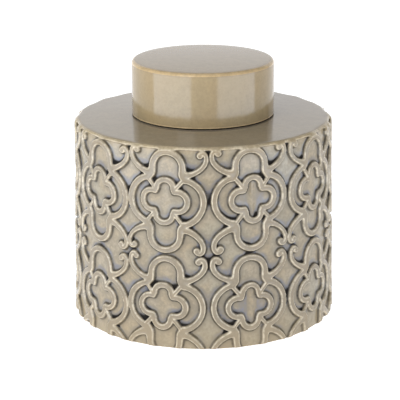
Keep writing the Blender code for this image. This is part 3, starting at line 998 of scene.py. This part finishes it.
# Side panels: how far off they stand, and between which heights the glaze mirrors them
SIDE_DISTANCE = 0.52
SIDE_LOW = -0.15
SIDE_MIRRORED_TO = 0.22

SENSOR_WIDTH = 36.0


def add_floor(studio):
    rim = ring(studio.floor_radius, -TABLE_DROP, even_turns(TABLE_COLUMNS))
    mesh = bpy.data.meshes.new("table")
    mesh.from_pydata(rim, [], [list(range(len(rim)))])
    recipe = Recipe("table_white")
    recipe.set(Base_Color=opaque(TABLE_WHITE), Roughness=TABLE_ROUGHNESS, Emission_Color=opaque(WHITE),
               Emission_Strength=studio.floor_glow, Specular_IOR_Level=0.0)
    mesh.materials.append(recipe.material)
    table = bpy.data.objects.new("table", mesh)
    bpy.context.collection.objects.link(table)


def add_panel(name, brightness, place, aim, width, height, tint=WHITE, mirrored=True):
    """A light panel at a place, turned to shine on another, which the glaze may mirror or not."""
    lamp = bpy.data.lights.new(name, "AREA")
    lamp.shape = "RECTANGLE"
    lamp.size, lamp.size_y = width, height
    lamp.color = tint
    lamp.energy = brightness * pi * width * height
    panel = bpy.data.objects.new(name, lamp)
    panel.location = place
    panel.rotation_euler = (Vector(aim) - Vector(place)).to_track_quat("-Z", "Y").to_euler()
    panel.visible_camera = False
    panel.visible_glossy = mirrored
    bpy.context.collection.objects.link(panel)


def add_upright_panel(name, brightness, heading, distance, low, high, width, **looks):
    """A panel that stands facing the jar; its heading runs from the camera's side to the right."""
    level = (low + high) / 2
    place = (distance * sin(heading), -distance * cos(heading), level)
    add_panel(name, brightness, place, (0.0, 0.0, level), width, high - low, **looks)


def add_side_panel(name, brightness, heading, high, width):
    """A panel beside the jar, whose upper part lights the glaze but isn't mirrored in it."""
    for part, bottom, top, mirrored in (("", SIDE_LOW, SIDE_MIRRORED_TO, True),
                                        ("_upper", SIDE_MIRRORED_TO, high, False)):
        add_upright_panel(name + part, brightness, heading, SIDE_DISTANCE, bottom, top, width,
                          tint=COOL_LIGHT, mirrored=mirrored)


def add_lights(studio):
    add_side_panel("left_panel", studio.left_panel, heading=radians(-50.0), high=0.68, width=0.65)
    add_upright_panel("front_panel", studio.front_panel, heading=radians(-27.0), distance=1.7,
                      low=0.7, high=1.5, width=0.8)
    add_side_panel("right_panel", studio.right_panel, heading=radians(54.5), high=0.36, width=0.66)
    add_upright_panel("back_panel", studio.back_panel, heading=pi, distance=1.4,
                      low=0.0, high=1.3, width=3.2, tint=WARM_LIGHT)
    add_panel("top_panel", studio.top_panel, place=(0.0, 0.0, 1.2), aim=(0.0, 0.0, 0.0),
              width=0.6, height=0.6)
    world = bpy.data.worlds.new("room")
    world.use_nodes = True
    room = world.node_tree.nodes["Background"].inputs
    room["Color"].default_value = opaque(WHITE)
    room["Strength"].default_value = studio.sky
    bpy.context.scene.world = world


def add_camera(studio):
    eye = bpy.data.cameras.new("camera")
    eye.lens = studio.lens
    eye.sensor_width = SENSOR_WIDTH
    camera = bpy.data.objects.new("camera", eye)
    height = studio.aim_height + studio.distance * tan(studio.pitch)
    yaw = atan(studio.aim_offset / studio.distance)
    camera.matrix_world = (Matrix.Translation((0.0, -studio.distance, height))
                           @ Matrix.Rotation(yaw, 4, "Z")
                           @ Matrix.Rotation(pi / 2 - studio.pitch, 4, "X")
                           @ Matrix.Rotation(-studio.roll, 4, "Z"))
    bpy.context.collection.objects.link(camera)
    bpy.context.scene.camera = camera
    bpy.context.scene.view_settings.view_transform = "Standard"


# The add-on

class JarLooks(bpy.types.PropertyGroup):
    """Everything that the sidebar shows."""

    jar: group("Jar", "Sizes of the jar", JarSizes)
    strapwork: group("Strapwork", "Sizes of the relief", StrapworkSizes)
    lid: group("Lid", "Sizes of the lid", LidSizes)
    glaze: group("Glaze", "Colours of the glaze", GlazeLooks)
    studio: group("Studio", "Camera and lights", StudioLooks)


class JAR_OT_body(bpy.types.Operator):
    """Add the jar with its strapwork, in place of its plain solid"""

    bl_idname = "jar.body"
    bl_label = "Strapwork Jar"

    def execute(self, context):
        add_jar(context.scene.strapwork_jar)
        return {"FINISHED"}


class JAR_OT_lid(bpy.types.Operator):
    """Add the cap lid, in place of its plain solid"""

    bl_idname = "jar.lid"
    bl_label = "Cap Lid"

    def execute(self, context):
        add_lid(context.scene.strapwork_jar)
        return {"FINISHED"}


class JAR_OT_stage(bpy.types.Operator):
    """Add the white table, the light panels and the camera"""

    bl_idname = "jar.stage"
    bl_label = "Table and Lights"

    def execute(self, context):
        studio = context.scene.strapwork_jar.studio
        add_floor(studio)
        add_lights(studio)
        add_camera(studio)
        return {"FINISHED"}


class VIEW3D_PT_jar(bpy.types.Panel):
    """Lists the pieces of the jar and their sizes"""

    bl_idname = "VIEW3D_PT_jar"
    bl_label = "Strapwork Jar"
    bl_space_type = "VIEW_3D"
    bl_region_type = "UI"
    bl_category = "Jar"

    def draw(self, context):
        looks = context.scene.strapwork_jar
        for operator in OPERATORS:
            self.layout.operator(operator.bl_idname)
        for part in (looks.jar, looks.strapwork, looks.lid, looks.glaze, looks.studio):
            box = self.layout.box()
            for name in part.__annotations__:
                box.prop(part, name)


OPERATORS = (JAR_OT_body, JAR_OT_lid, JAR_OT_stage)
CLASSES = (JarSizes, StrapworkSizes, LidSizes, GlazeLooks, StudioLooks, JarLooks, *OPERATORS, VIEW3D_PT_jar)


def register():
    for item in CLASSES:
        bpy.utils.register_class(item)
    bpy.types.Scene.strapwork_jar = group("Strapwork jar", "Sizes and colours of the jar", JarLooks)


def unregister():
    del bpy.types.Scene.strapwork_jar
    for item in reversed(CLASSES):
        bpy.utils.unregister_class(item)


def main():
    register()
    bpy.ops.jar.body()
    bpy.ops.jar.lid()
    bpy.ops.jar.stage()


if __name__ == "__main__":
    main()
